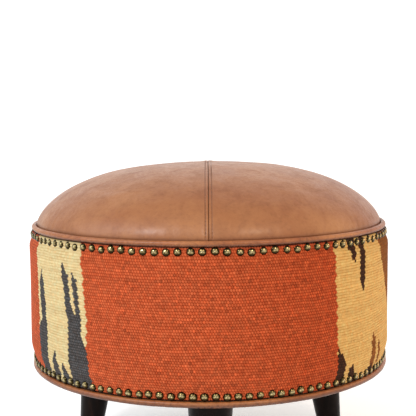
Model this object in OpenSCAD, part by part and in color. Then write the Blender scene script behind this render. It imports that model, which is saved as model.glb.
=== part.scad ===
// Round upholstered footstool: a leather dome over a kilim band, edged with brass nails
// and leather welts, on three splayed screw-in legs. Units are millimetres.
// The origin is on the floor, under the centre of the seat.

/* [Overall] */
// Diameter over the kilim band
band_d = 508; // [480:1:540]
// Height of the kilim band
band_h = 184; // [160:1:200]
// Height from the floor to the underside of the band
underside_z = 156; // [140:1:170]
// Rise of the leather seat above the band
dome_h = 90; // [80:1:115]

/* [Cover] */
// Thickness of the leather
leather_t = 1.2; // [1:0.1:2]
// Thickness of the kilim
kilim_t = 3; // [2:0.1:4]
// Thickness of the wadding over the seat foam
wadding_t = 8; // [4:1:12]
// How far the leather seat stands inside the band
dome_inset = 11; // [10:0.5:14]
// Outer diameter of the leather welts
welt_d = 7.5; // [6:0.1:9]
// Distance of each topstitch row from the centre seam
topstitch_offset = 4; // [3:0.1:6]
// Length from one stitch to the next
stitch_pitch = 5.4; // [4:0.1:7]

/* [Nails] */
// Diameter of a nail head
nail_head_d = 9.5; // [8:0.1:10.5]
// Number of nails in the top row
top_nail_count = 108; // [100:2:120]
// Number of nails in the bottom row
bottom_nail_count = 116; // [100:2:124]
// Distance of the top row below the band's top edge
top_nail_drop = 4.9; // [4.8:0.1:7]
// Distance of the bottom row above the band's bottom edge
bottom_nail_rise = 5.4; // [5:0.1:8]

/* [Legs] */
// Outward lean of each leg
leg_splay = 9; // [6:0.1:12]
// Distance of a foot's centre from the middle
foot_r = 220; // [210:0.5:226]
// Diameter of a leg at its top
leg_top_d = 58.6; // [50:0.1:60]
// Diameter of a leg at the floor
leg_foot_d = 35.4; // [32:0.1:40]
// Thickness of the glide under each foot
glide_t = 4; // [3:0.5:5]

/* [Frame] */
// Diameter of the base board and of the deck board
board_d = 482; // [478:1:482]
// Thickness of both boards
board_t = 18; // [15:1:20]
// Width of each post between the boards
post_w = 46; // [38:1:60]

/* [Hidden] */
$fn = 96;
gap = 0.1;                       // fitting gap between layers that lie on each other

// Band and boards
band_r = band_d / 2;
band_top = underside_z + band_h;
kilim_in_r = band_r - kilim_t;
turn_under_w = 19;               // kilim folded under the base board
board_r = board_d / 2;
base_bottom = underside_z + kilim_t;
base_top = base_bottom + board_t;
deck_top = band_top;
deck_bottom = deck_top - board_t;
panel_t = 3;                     // bent hardboard wall
panel_in_r = board_r + 0.2;
panel_top = deck_bottom - 6;

// Seat dome: a superellipse of revolution above a short upright side
dome_r = band_r - dome_inset;
side_rise = 8;
crown_h = dome_h - side_rise;
crown_base = band_top + side_rise;
plan_power = 2.636;              // fullness towards the rim
height_power = 1.546;            // roundness of the shoulder
dome_steps = 30;
skirt_r = board_r + 0.2 + leather_t;
tuck_h = 6;                      // the leather draws in to the deck below this height
foam_inset = leather_t + wadding_t + 3 * gap;
thread_r = 0.45;
stitch_len = stitch_pitch - 1.6;

// Welts
welt_r = welt_d / 2;
cord_r = welt_r - leather_t;
top_welt_r = band_r - 7.1;       // radius of each welt's centre line
bottom_welt_r = band_r - 4;
top_welt_z = band_top + welt_r;
bottom_welt_z = underside_z - welt_r - 0.8;
flange_w = 16;                   // sewn flange of each welt
flange_t = 1.8;
flange_in_r = top_welt_r - 3.3;   // the top welt's flange hangs from its inner side
dust_t = 1;
dust_top = bottom_welt_z + welt_r - flange_t - gap;
dust_r = board_r - 1;
dust_hole_r = 32;

// Legs, in a frame whose +Z runs up along the leg from the centre of its top
leg_top_z = underside_z - 5;
leg_angles = [-90, 30, 150];     // front, right, left
axis_r = foot_r - leg_top_z * tan(leg_splay);
leg_len = leg_top_z / cos(leg_splay);
leg_taper = (leg_top_d - leg_foot_d) / 2 / leg_len;
washer_t = 2;
washer_r = 23;
bolt_r = 4;
bolt_fit = 0.05;                 // running clearance in the tee nut
bolt_up = 26;
bolt_down = 32;
thread_p = 2.4;                  // pitch of the wood thread
nut_flange_t = 1.5;
nut_flange_r = 11;
nut_barrel_r = 5;
nut_barrel_len = 11;
nut_seat = (base_top - leg_top_z) / cos(leg_splay) - 2.5;
glide_r = 14;
glide_axis_r = foot_r - glide_t * tan(leg_splay);
glide_pin_r = 1.25;
glide_pin_len = 16;

// Posts and screws
post_count = 6;
post_depth = 34;
screw_r = 2;
screw_head_r = 4;
screw_head_h = 2.6;
screw_len = 45;
screw_ring_r = board_r - post_depth / 2 - 1;

// Nails and staples
nail_rise = 3.2;
nail_dip = 3.5;                  // the nails pull the kilim in by this much
nailed_r = band_r - nail_dip;
nailed_in_r = nailed_r - 2;      // the kilim is squeezed to 2 mm there
pull_full = 8;                   // the pull is full up to this distance from the band's edges
pull_end = 20;                   // and gone beyond this one
nail_shank_r = 0.9;
nail_shank_in = board_r - 3;
staple_w = 11;
staple_wire = 0.9;
staple_count = 24;

// ---- profiles -------------------------------------------------------------------------

// Point of the seat's outer profile at parameter a, from 0 at the crown to 90 at the side
function crown_point(a) =
    [dome_r * pow(sin(a), 2 / plan_power), crown_h * pow(cos(a), 2 / height_power)];

// Outward normal of the profile there
function crown_normal(p) =
    let (n = [plan_power / dome_r * pow(p[0] / dome_r, plan_power - 1),
              height_power / crown_h * pow(p[1] / crown_h, height_power - 1)])
    n / norm(n);

// The profile moved inwards by inset, as [radius, height above the floor]
function crown_inset(a, inset) =
    let (p = crown_point(a), q = p - inset * crown_normal(p))
    [max(q[0], 0), crown_base + q[1]];

function crown_outline(inset) =
    [for (i = [0 : dome_steps]) crown_inset(90 * i / dome_steps, inset)];

function reversed(list) = [for (i = [len(list) - 1 : -1 : 0]) list[i]];

// Closed outline of a solid dome standing on the deck
function dome_outline(inset) = concat(
    [[0, deck_top + gap]],
    crown_outline(inset),
    [[dome_r - inset, deck_top + tuck_h], [skirt_r - inset, deck_top + gap]]);

module leather_section() {
    polygon(concat(
        crown_outline(0),
        [[dome_r, band_top + tuck_h - 1], [skirt_r, band_top - 2], [skirt_r, deck_bottom],
         [skirt_r - leather_t, deck_bottom], [skirt_r - leather_t, band_top - 1],
         [dome_r - leather_t, band_top + tuck_h]],
        reversed(crown_outline(leather_t))));
}

module ring_section(r_in, r_out, z_low, z_high) {
    translate([r_in, z_low]) square([r_out - r_in, z_high - z_low]);
}

// ---- placing --------------------------------------------------------------------------

// Puts children into the frame of the leg at the angle given
module at_leg(angle) {
    rotate([0, 0, angle]) translate([axis_r, 0, leg_top_z]) rotate([0, -leg_splay, 0]) children();
}

module at_posts() {
    for (i = [0 : post_count - 1]) rotate([0, 0, i * 360 / post_count]) children();
}

// ---- seat cover -----------------------------------------------------------------------

module cover_half(first_angle) {
    rotate([0, 0, first_angle]) rotate_extrude(angle = 180) leather_section();
}

module cover_left() { color("peru") cover_half(90); }
module cover_right() { color("sandybrown") cover_half(-90); }

// Distance along the profile from the crown, against the parameter
function arc_table(steps) = [
    for (i = 0, s = 0; i <= steps;
         i = i + 1, s = s + norm(crown_point(90 * i / steps) - crown_point(90 * (i - 1) / steps)))
        [s, 90 * i / steps]];

// Stitches along the seat's profile in a plane beside the seam
module topstitch_row(side) {
    table = arc_table(180);
    per_side = floor((table[180][0] - 3) / stitch_pitch);
    for (i = [0 : per_side - 1], s = [-1, 1]) {
        a = lookup((i + 0.5) * stitch_pitch, table);
        p = crown_point(a);
        n = crown_normal(p);
        translate([side * topstitch_offset, s * p[0], crown_base + p[1]])
            rotate([90 - s * acos(n[1]), 0, 0])
            cylinder(h = stitch_len, r = thread_r, center = true, $fn = 24);
    }
}

module topstitch_left() { color("saddlebrown") topstitch_row(-1); }
module topstitch_right() { color("saddlebrown") topstitch_row(1); }

// Cloth tape that backs the centre seam, let into the wadding
module seam_tape() {
    color("beige") intersection() {
        rotate_extrude() difference() {
            polygon(dome_outline(leather_t + gap));
            polygon(dome_outline(leather_t + gap + 0.5));
        }
        translate([-12, -band_r, crown_base]) cube([24, band_d, dome_h]);
    }
}

module seat_wadding() {
    color("white") difference() {
        rotate_extrude() difference() {
            polygon(dome_outline(leather_t + gap));
            polygon(dome_outline(leather_t + wadding_t + gap));
        }
        intersection() {
            rotate_extrude() difference() {
                polygon(dome_outline(leather_t));
                polygon(dome_outline(leather_t + gap + 0.6));
            }
            translate([-12.2, -band_r, crown_base - 0.2]) cube([24.4, band_d, dome_h]);
        }
    }
}

module seat_foam() {
    color("khaki") rotate_extrude() polygon(dome_outline(foam_inset));
}

// ---- frame ----------------------------------------------------------------------------

module countersink(head_z, up) {
    translate([screw_ring_r, 0, head_z]) mirror([0, 0, up ? 1 : 0]) {
        translate([0, 0, -1]) cylinder(h = board_t + 2, r = screw_r + 0.3);
        translate([0, 0, -0.1])
            cylinder(h = screw_head_h + 0.1, r1 = screw_head_r + 0.4, r2 = screw_r + 0.3);
    }
}

module deck_board() {
    color("burlywood") difference() {
        translate([0, 0, deck_bottom]) cylinder(h = board_t, r = board_r);
        at_posts() countersink(deck_top, true);
    }
}

module base_board() {
    color("burlywood") difference() {
        translate([0, 0, base_bottom]) cylinder(h = board_t, r = board_r);
        at_posts() countersink(base_bottom, false);
        for (angle = leg_angles) at_leg(angle) {
            cylinder(h = 60, r = bolt_r + 0.5);
            translate([0, 0, nut_seat - nut_barrel_len - 1])
                cylinder(h = 60, r = nut_barrel_r + gap);
            translate([0, 0, nut_seat]) cylinder(h = 30, r = nut_flange_r + 1);
        }
    }
}

module post(number) {
    color("tan") rotate([0, 0, (number - 1) * 360 / post_count]) difference() {
        intersection() {
            translate([board_r - post_depth, -post_w / 2, base_top + gap])
                cube([post_depth, post_w, deck_bottom - base_top - 2 * gap]);
            cylinder(h = deck_top, r = board_r);
        }
        for (z = [base_top, deck_bottom])
            translate([screw_ring_r, 0, z]) cylinder(h = 2 * screw_len, r = screw_r + gap, center = true);
    }
}

module post_1() { post(1); }
module post_2() { post(2); }
module post_3() { post(3); }
module post_4() { post(4); }
module post_5() { post(5); }
module post_6() { post(6); }

module wood_screw() {
    rotate_extrude() polygon([
        [0, 0], [screw_head_r, 0], [screw_head_r, 0.3], [screw_r, screw_head_h],
        [screw_r, screw_len - 5], [0, screw_len]]);
}

module deck_screws() {
    color("silver") at_posts()
        translate([screw_ring_r, 0, deck_top]) mirror([0, 0, 1]) wood_screw();
}

module base_screws() {
    color("silver") at_posts() translate([screw_ring_r, 0, base_bottom]) wood_screw();
}

module side_panel() {
    color("sienna") rotate_extrude()
        ring_section(panel_in_r, panel_in_r + panel_t, base_bottom, panel_top);
}

// Foam sheet behind the kilim, thinned where the bottom nails pull the kilim in
module side_padding() {
    in_r = panel_in_r + panel_t + gap;
    out_r = kilim_in_r - gap;
    color("ivory") rotate_extrude() polygon([
        [in_r, base_bottom + gap], [nailed_in_r - gap, base_bottom + gap],
        [nailed_in_r - gap, underside_z + pull_full], [out_r, underside_z + pull_end],
        [out_r, band_top - pull_end], [in_r, band_top - pull_end]]);
}

// Card that gives the band's top edge its crisp line
module tack_strip() {
    color("tan") rotate_extrude()
        ring_section(flange_in_r + flange_t + gap, nailed_in_r - gap, band_top - flange_w, band_top - 2);
}

// ---- kilim band and trim --------------------------------------------------------------

module kilim_band() {
    edge_r = 0.9;
    low = underside_z + edge_r;
    high = band_top - edge_r;
    color("firebrick") rotate_extrude() union() {
        polygon([
            [nailed_r, low], [nailed_r, underside_z + pull_full], [band_r, underside_z + pull_end],
            [band_r, band_top - pull_end], [nailed_r, band_top - pull_full], [nailed_r, high],
            [nailed_in_r, high], [nailed_in_r, band_top - pull_full], [kilim_in_r, band_top - pull_end],
            [kilim_in_r, underside_z + pull_end], [nailed_in_r, underside_z + pull_full],
            [nailed_in_r, low]]);
        ring_section(nailed_in_r, nailed_r - edge_r, high - edge_r, band_top);
        ring_section(kilim_in_r - turn_under_w, nailed_r - edge_r, underside_z, base_bottom);
        translate([nailed_r - edge_r, high]) circle(r = edge_r, $fn = 32);
        translate([nailed_r - edge_r, low]) circle(r = edge_r, $fn = 32);
    }
}

// One upholstery nail, pointing to the middle of the seat
module nail() {
    head_r = nail_head_d / 2;
    ball_r = (head_r * head_r + nail_rise * nail_rise) / (2 * nail_rise);
    shank_len = nailed_r - nail_shank_in;
    rotate([0, 90, 0]) {
        translate([0, 0, -0.2]) intersection() {
            translate([0, 0, nail_rise - ball_r]) sphere(r = ball_r, $fn = 48);
            cylinder(h = nail_rise + 1, r = head_r, $fn = 48);
        }
        translate([0, 0, -shank_len]) cylinder(h = shank_len, r = nail_shank_r, $fn = 16);
    }
}

module nail_row(count, z) {
    for (i = [0 : count - 1])
        rotate([0, 0, (i + 0.5) * 360 / count]) translate([nailed_r, 0, z]) nail();
}

module top_nails() { color("darkgoldenrod") nail_row(top_nail_count, band_top - top_nail_drop); }
module bottom_nails() { color("darkgoldenrod") nail_row(bottom_nail_count, underside_z + bottom_nail_rise); }

module staple() {
    translate([-staple_w / 2, -staple_wire / 2, 0]) {
        cube([staple_w, staple_wire, staple_wire]);
        for (x = [0, staple_w - staple_wire])
            translate([x, 0, 0]) cube([staple_wire, staple_wire, 10]);
    }
}

// Staples that hold the leather skirt to the deck's edge
module cover_staples() {
    color("silver") for (i = [0 : staple_count - 1])
        rotate([0, 0, (i + 0.5) * 360 / staple_count])
            translate([skirt_r + staple_wire, 0, deck_bottom + 4]) rotate([0, -90, 0]) rotate([0, 0, 90])
                staple();
}

// Section of a welt's leather: a tube with a flat flange sewn beside it
module welt_section() {
    difference() {
        union() {
            circle(r = welt_r, $fn = 48);
            children();
        }
        circle(r = cord_r + gap, $fn = 48);
    }
}

module top_welt_cover() {
    color("chocolate") rotate_extrude() translate([top_welt_r, top_welt_z]) welt_section()
        translate([flange_in_r - top_welt_r, -flange_w]) square([flange_t, flange_w]);
}

module bottom_welt_cover() {
    color("chocolate") rotate_extrude() translate([bottom_welt_r, bottom_welt_z]) welt_section()
        translate([-flange_w, welt_r - flange_t]) square([flange_w, flange_t]);
}

module welt_cord(r, z) {
    color("white") rotate_extrude() translate([r, z]) circle(r = cord_r, $fn = 48);
}

module top_welt_cord() { welt_cord(top_welt_r, top_welt_z); }
module bottom_welt_cord() { welt_cord(bottom_welt_r, bottom_welt_z); }

module dust_cover() {
    color("black") difference() {
        translate([0, 0, dust_top - dust_t]) cylinder(h = dust_t, r = dust_r);
        for (angle = leg_angles)
            rotate([0, 0, angle]) translate([axis_r, 0, dust_top - 10]) cylinder(h = 20, r = dust_hole_r);
    }
}

module dust_cover_staples() {
    color("silver") for (i = [0 : staple_count - 1])
        rotate([0, 0, i * 360 / staple_count])
            translate([dust_r - 4, 0, dust_top - dust_t - staple_wire]) rotate([0, 0, 90]) staple();
}

// ---- legs -----------------------------------------------------------------------------

// Block that turns the level underside of the board into a seat square to the leg
module wedge(angle) {
    color("tan") difference() {
        intersection() {
            at_leg(angle) translate([0, 0, washer_t]) cylinder(h = 30, r = leg_top_d / 2);
            cylinder(h = base_bottom, r = band_r);
        }
        at_leg(angle) cylinder(h = 60, r = bolt_r + 0.5);
    }
}

module tee_nut(angle) {
    color("silver") at_leg(angle) difference() {
        union() {
            translate([0, 0, nut_seat]) cylinder(h = nut_flange_t, r = nut_flange_r);
            translate([0, 0, nut_seat - nut_barrel_len]) cylinder(h = nut_barrel_len, r = nut_barrel_r);
        }
        translate([0, 0, nut_seat - nut_barrel_len - 1])
            cylinder(h = nut_barrel_len + nut_flange_t + 2, r = bolt_r + bolt_fit);
    }
}

module washer(angle) {
    color("dimgray") at_leg(angle) difference() {
        cylinder(h = washer_t, r = washer_r);
        translate([0, 0, -1]) cylinder(h = washer_t + 2, r = bolt_r + bolt_fit);
    }
}

// Hanger bolt: plain major diameter in the tee nut, coarse wood thread in the leg
module bolt(angle) {
    turns = floor((bolt_down - 8) / thread_p);
    ridge = [for (i = [0 : turns - 1], k = [0, 1])
        [k == 0 ? bolt_r - 0.9 : bolt_r, -bolt_down + 6 + i * thread_p + k * thread_p / 2]];
    color("silver") at_leg(angle) rotate_extrude() polygon(concat(
        [[0, -bolt_down]], ridge, [[bolt_r, -1.5], [bolt_r, bolt_up - 1], [bolt_r - 1, bolt_up], [0, bolt_up]]));
}

module leg(angle) {
    round_r = 2;
    top_r = leg_top_d / 2;
    low_r = top_r - leg_taper * (leg_len + 10);
    color("#1d1512") difference() {
        at_leg(angle) rotate_extrude() union() {
            polygon([[0, -leg_len - 10], [low_r, -leg_len - 10], [top_r, -round_r],
                     [top_r - round_r, -round_r], [top_r - round_r, 0], [0, 0]]);
            translate([top_r - round_r, -round_r]) circle(r = round_r, $fn = 32);
        }
        translate([0, 0, glide_t - 100]) cylinder(h = 100, r = 2 * band_r);
        at_leg(angle) translate([0, 0, -bolt_down - 1]) cylinder(h = bolt_down + 2, r = bolt_r + bolt_fit);
        rotate([0, 0, angle]) translate([glide_axis_r, 0, 0])
            cylinder(h = glide_t + glide_pin_len + 1, r = glide_pin_r + bolt_fit);
    }
}

module glide(angle) {
    edge_r = 1.2;
    color("gray") rotate([0, 0, angle]) translate([glide_axis_r, 0, 0]) {
        rotate_extrude() union() {
            ring_section(0, glide_r - edge_r, 0, glide_t);
            ring_section(0, glide_r, edge_r, glide_t);
            translate([glide_r - edge_r, edge_r]) circle(r = edge_r, $fn = 32);
        }
        cylinder(h = glide_t + glide_pin_len, r = glide_pin_r);
    }
}

module wedge_front() { wedge(leg_angles[0]); }
module wedge_right() { wedge(leg_angles[1]); }
module wedge_left() { wedge(leg_angles[2]); }
module tee_nut_front() { tee_nut(leg_angles[0]); }
module tee_nut_right() { tee_nut(leg_angles[1]); }
module tee_nut_left() { tee_nut(leg_angles[2]); }
module washer_front() { washer(leg_angles[0]); }
module washer_right() { washer(leg_angles[1]); }
module washer_left() { washer(leg_angles[2]); }
module bolt_front() { bolt(leg_angles[0]); }
module bolt_right() { bolt(leg_angles[1]); }
module bolt_left() { bolt(leg_angles[2]); }
module leg_front() { leg(leg_angles[0]); }
module leg_right() { leg(leg_angles[1]); }
module leg_left() { leg(leg_angles[2]); }
module glide_front() { glide(leg_angles[0]); }
module glide_right() { glide(leg_angles[1]); }
module glide_left() { glide(leg_angles[2]); }

cover_left();
cover_right();
topstitch_left();
topstitch_right();
seam_tape();
seat_wadding();
seat_foam();
deck_board();
base_board();
post_1();
post_2();
post_3();
post_4();
post_5();
post_6();
deck_screws();
base_screws();
side_panel();
side_padding();
tack_strip();
kilim_band();
top_nails();
bottom_nails();
cover_staples();
top_welt_cover();
top_welt_cord();
bottom_welt_cover();
bottom_welt_cord();
dust_cover();
dust_cover_staples();
wedge_front();
wedge_right();
wedge_left();
tee_nut_front();
tee_nut_right();
tee_nut_left();
washer_front();
washer_right();
washer_left();
bolt_front();
bolt_right();
bolt_left();
leg_front();
leg_right();
leg_left();
glide_front();
glide_right();
glide_left();
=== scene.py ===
"""Looks for the round leather and kilim footstool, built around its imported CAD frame.

Everything is in metres in the frame's own axes: +Z up, -Y to the front, the floor at z = 0.
"""

import math
from functools import cache

import bmesh
import bpy
import numpy as np
from mathutils import Matrix, Vector
from mathutils.geometry import delaunay_2d_cdt
from mathutils.kdtree import KDTree


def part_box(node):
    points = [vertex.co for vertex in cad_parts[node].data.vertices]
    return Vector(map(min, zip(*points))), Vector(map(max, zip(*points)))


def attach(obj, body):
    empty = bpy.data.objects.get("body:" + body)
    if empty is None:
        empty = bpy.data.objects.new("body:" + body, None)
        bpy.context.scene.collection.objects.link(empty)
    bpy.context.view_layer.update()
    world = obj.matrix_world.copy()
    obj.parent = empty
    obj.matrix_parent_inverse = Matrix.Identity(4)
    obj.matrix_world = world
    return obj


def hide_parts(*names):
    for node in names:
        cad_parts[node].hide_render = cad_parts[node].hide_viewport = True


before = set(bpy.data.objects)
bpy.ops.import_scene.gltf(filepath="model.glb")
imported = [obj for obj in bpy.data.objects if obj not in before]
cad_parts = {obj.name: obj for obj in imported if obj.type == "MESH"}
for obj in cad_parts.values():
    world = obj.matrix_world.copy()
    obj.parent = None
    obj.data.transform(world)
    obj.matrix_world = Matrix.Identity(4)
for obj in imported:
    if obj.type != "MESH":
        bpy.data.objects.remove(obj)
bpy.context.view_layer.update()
MM = 0.001
SIDES = {-1: "left", 1: "right"}

# ---- sizes, from the frame ----

BAND_LOW, BAND_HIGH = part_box("kilim_band")
BAND_R = BAND_HIGH.x
BAND_BOTTOM, BAND_TOP = BAND_LOW.z, BAND_HIGH.z
BAND_H = BAND_TOP - BAND_BOTTOM
COVER_LOW, COVER_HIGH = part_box("cover_right")
DOME_R = COVER_HIGH.x
DOME_TOP = COVER_HIGH.z
SKIRT_BOTTOM = COVER_LOW.z
TOP_WELT_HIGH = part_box("top_welt_cover")[1]
BOTTOM_WELT_LOW, BOTTOM_WELT_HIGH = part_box("bottom_welt_cover")
WELT_R = (TOP_WELT_HIGH.z - BAND_TOP) / 2
TOP_WELT_R = TOP_WELT_HIGH.x - WELT_R
TOP_WELT_Z = TOP_WELT_HIGH.z - WELT_R
DUST_LOW, DUST_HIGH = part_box("dust_cover")

# The bottom welt is drawn a little further in and lower than in the CAD, as the photo has it
BOTTOM_WELT_IN, BOTTOM_WELT_DROP = 0.8 * MM, 0.5 * MM
BOTTOM_WELT_R = BOTTOM_WELT_HIGH.x - WELT_R - BOTTOM_WELT_IN
BOTTOM_WELT_Z = BOTTOM_WELT_LOW.z + WELT_R - BOTTOM_WELT_DROP

KILIM_T = 3 * MM
TURN_UNDER = 19 * MM             # how far the kilim turns in under the base
LEATHER_T = 1.2 * MM
SKIRT_R = 242.4 * MM             # outer radius of the leather behind the kilim

# The seat's profile: (r / DOME_R) ** PLAN_POWER + (height / CROWN_H) ** HEIGHT_POWER = 1
CROWN_BASE = BAND_TOP + 8 * MM
CROWN_H = DOME_TOP - CROWN_BASE
PLAN_POWER, HEIGHT_POWER = 2.636, 1.546

STITCH_OFFSET, STITCH_PITCH = 4 * MM, 5.4 * MM

# ---- small tools ----


def smooth_step(x, low, high):
    """0 below low, 1 above high, smooth between."""
    t = np.clip((x - low) / (high - low), 0, 1)
    return t * t * (3 - 2 * t)


def waves(points, scale, seed, count=14):
    """Smooth noise between about -1 and 1 at points, with features of the size scale."""
    rng = np.random.default_rng(seed)
    total = np.zeros(points.shape[:-1])
    for _ in range(count):
        direction = rng.normal(size=points.shape[-1])
        direction *= rng.uniform(0.6, 1.5) / (scale * np.linalg.norm(direction))
        total += np.sin(points @ direction * math.pi + rng.uniform(0, 2 * math.pi))
    return total / math.sqrt(count) * 0.8


def circle(count):
    """Angles spaced evenly round a circle."""
    return 2 * math.pi * np.arange(count) / count


def srgb(red, green, blue):
    """A linear colour from 0 to 255 display values."""
    values = []
    for value in (red, green, blue):
        v = value / 255
        values.append(v / 12.92 if v <= 0.04045 else ((v + 0.055) / 1.055) ** 2.4)
    return (*values, 1.0)


def add_object(name, data):
    """Puts a new object into the scene."""
    obj = bpy.data.objects.new(name, data)
    bpy.context.scene.collection.objects.link(obj)
    return obj


def new_object(name, verts, faces, material, body="root", replaces=()):
    """A smooth-shaded piece that rides on a body."""
    mesh = bpy.data.meshes.new(name)
    mesh.from_pydata(np.asarray(verts).tolist(), [], [tuple(f) for f in faces])
    mesh.update()
    mesh.shade_smooth()
    mesh.materials.append(material)
    obj = add_object(name, mesh)
    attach(obj, body)
    if replaces:
        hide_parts(*replaces)
    return obj


def grid_faces(rows, columns, closed=False, first=0):
    """Quads of a grid whose points are stored row by row."""
    last = columns if closed else columns - 1
    i, j = np.meshgrid(np.arange(rows - 1), np.arange(last), indexing="ij")
    k = (j + 1) % columns
    quads = np.stack([i * columns + j, i * columns + k, (i + 1) * columns + k, (i + 1) * columns + j], -1)
    return (quads.reshape(-1, 4) + first).tolist()


def ring_faces(around, section, first=0):
    """Quads of a closed ring whose sections are stored one after the other."""
    faces = grid_faces(around, section, closed=True, first=first)
    last = first + (around - 1) * section
    for j in range(section):
        k = (j + 1) % section
        faces.append([last + j, last + k, first + k, first + j])
    return faces


def attribute(obj, name, values):
    """Stores one number per vertex for the materials to read."""
    layer = obj.data.attributes.new(name, "FLOAT", "POINT")
    layer.data.foreach_set("value", np.asarray(values, np.float32).ravel())


def colour_attribute(obj, name, colours):
    """Stores one colour per vertex for the materials to read."""
    layer = obj.data.attributes.new(name, "FLOAT_COLOR", "POINT")
    rgba = np.ones((len(colours), 4), np.float32)
    rgba[:, :3] = colours
    layer.data.foreach_set("color", rgba.ravel())


def unrolled_uv(obj, u, v):
    """A plain UV map from one u and one v per vertex, named OFBake."""
    layer = obj.data.uv_layers.new(name="OFBake")
    index = np.zeros(len(obj.data.loops), np.int32)
    obj.data.loops.foreach_get("vertex_index", index)
    layer.data.foreach_set("uv", np.stack([u[index], v[index]], -1).astype(np.float32).ravel())


# ---- material tools ----


class Nodes:
    """Builds one material's node tree."""

    def __init__(self, name, **sockets):
        self.material = bpy.data.materials.new(name)
        self.material.use_nodes = True
        self.tree = self.material.node_tree
        self.shader = self.tree.nodes["Principled BSDF"]
        for socket, value in sockets.items():
            self.shader.inputs[socket.replace("_", " ").title().replace("Ior", "IOR")].default_value = value
        self.coords = self.add("ShaderNodeTexCoord", "Object")

    def add(self, kind, output, inputs=None, **settings):
        """Adds a node with values or other nodes' outputs on its inputs, and returns one of its outputs."""
        node = self.tree.nodes.new(kind)
        for key, value in settings.items():
            setattr(node, key, value)
        for key, value in (inputs or {}).items():
            self.feed(value, node.inputs[key])
        return node.outputs[output]

    def feed(self, value, socket):
        """Links a node's output to a socket, or sets the socket to a plain value."""
        if hasattr(value, "is_output"):
            self.tree.links.new(value, socket)
        else:
            socket.default_value = value

    def stretch(self, x, y, z):
        return self.add("ShaderNodeMapping", "Vector", {"Scale": (x, y, z), "Vector": self.coords})

    def noise(self, scale, detail=4, rough=0.5, vector=None, distortion=0):
        return self.add("ShaderNodeTexNoise", "Fac", {
            "Scale": scale, "Detail": detail, "Roughness": rough, "Distortion": distortion,
            "Vector": vector or self.coords})

    def cells(self, scale, feature="F1"):
        return self.add("ShaderNodeTexVoronoi", "Distance", {"Scale": scale, "Vector": self.coords},
                        feature=feature)

    def value(self, name):
        return self.add("ShaderNodeAttribute", "Fac", attribute_name=name)

    def colour(self, name):
        return self.add("ShaderNodeAttribute", "Color", attribute_name=name)

    def ramp(self, source, *stops):
        """A colour ramp of (place, colour) stops."""
        colour = self.add("ShaderNodeValToRGB", "Color", {"Fac": source})
        elements = colour.node.color_ramp.elements
        while len(elements) < len(stops):
            elements.new(0.5)
        for element, (place, tint) in zip(elements, stops):
            element.position = place
            element.color = tint
        return colour

    def spread(self, source, low, high, to_low=0.0, to_high=1.0):
        """Maps the range from low to high onto the range from to_low to to_high."""
        return self.add("ShaderNodeMapRange", "Result", {
            "Value": source, "From Min": low, "From Max": high, "To Min": to_low, "To Max": to_high})

    def mix(self, factor, a, b, blend="MIX"):
        return self.add("ShaderNodeMix", 2, {0: factor, 6: a, 7: b}, data_type="RGBA", blend_type=blend)

    def maths(self, operation, a, b):
        return self.add("ShaderNodeMath", 0, {0: a, 1: b}, operation=operation)

    def bump(self, height, distance, strength, normal=None):
        """Relief of a height map, laid over another relief's normal where one is given."""
        below = {"Normal": normal} if normal else {}
        return self.add("ShaderNodeBump", "Normal",
                        {"Strength": strength, "Distance": distance, "Height": height, **below})

    def finish(self, colour, rough=None, normal=None):
        """Feeds the shader and returns the material."""
        for source, socket in ((colour, "Base Color"), (rough, "Roughness"), (normal, "Normal")):
            if source:
                self.feed(source, self.shader.inputs[socket])
        return self.material


def leather_material(name, base, light, dark):
    """Pull-up leather: cloudy colour, streaks and scuffs, fine pebbled grain, a waxy bloom, and painted shade
    where the mesh marks creases.
    """
    m = Nodes(name, specular_ior_level=0.42, coat_weight=0.13, coat_roughness=0.24, sheen_weight=0.05,
              sheen_roughness=0.3, sheen_tint=(0.85, 0.95, 1.0, 1.0))
    clouds = m.noise(13, 5, 0.6)
    blotch = m.noise(42, 5, 0.62, distortion=0.8)
    streaks = m.noise(70, 4, 0.6, m.stretch(1, 1, 0.22), distortion=0.5)
    tone = m.mix(m.spread(clouds, 0.36, 0.62), base, light)
    tone = m.mix(m.spread(blotch, 0.46, 0.74, 0, 0.38), tone, dark)
    tone = m.mix(m.spread(streaks, 0.5, 0.7, 0, 0.6), tone, light)
    speckle = m.noise(260, 4, 0.65)
    tone = m.mix(m.spread(speckle, 0.5, 0.7, 0, 0.25), tone, dark)
    # painted shade: darker where the mesh marks the seam's groove, the stitch line, a welt's underside and
    # its creases
    tone = m.mix(m.value("shaded_creases"), tone, dark)
    rough = m.maths("ADD", m.spread(blotch, 0.3, 0.7, 0.36, 0.54), m.spread(speckle, 0.3, 0.7, -0.05, 0.08))
    pebbles = m.maths("ADD", m.spread(m.cells(900), 0, 0.9), m.noise(2200, 3, 0.6))
    normal = m.bump(pebbles, 0.12 * MM, 0.6)
    normal = m.bump(m.noise(150, 3, 0.55), 0.5 * MM, 0.3, normal)
    normal = m.bump(m.noise(50, 3, 0.5), 1.1 * MM, 0.3, normal)
    return m.finish(tone, rough, normal)


def thread_material():
    """Waxed thread, twisted."""
    m = Nodes("waxed_thread", roughness=0.5)
    twist = m.noise(900, 2, 0.5, m.stretch(1, 0.35, 1))
    tone = m.ramp(twist, (0.3, srgb(92, 54, 32)), (0.7, srgb(150, 96, 60)))
    return m.finish(tone, None, m.bump(twist, 0.15 * MM, 0.6))


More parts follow.
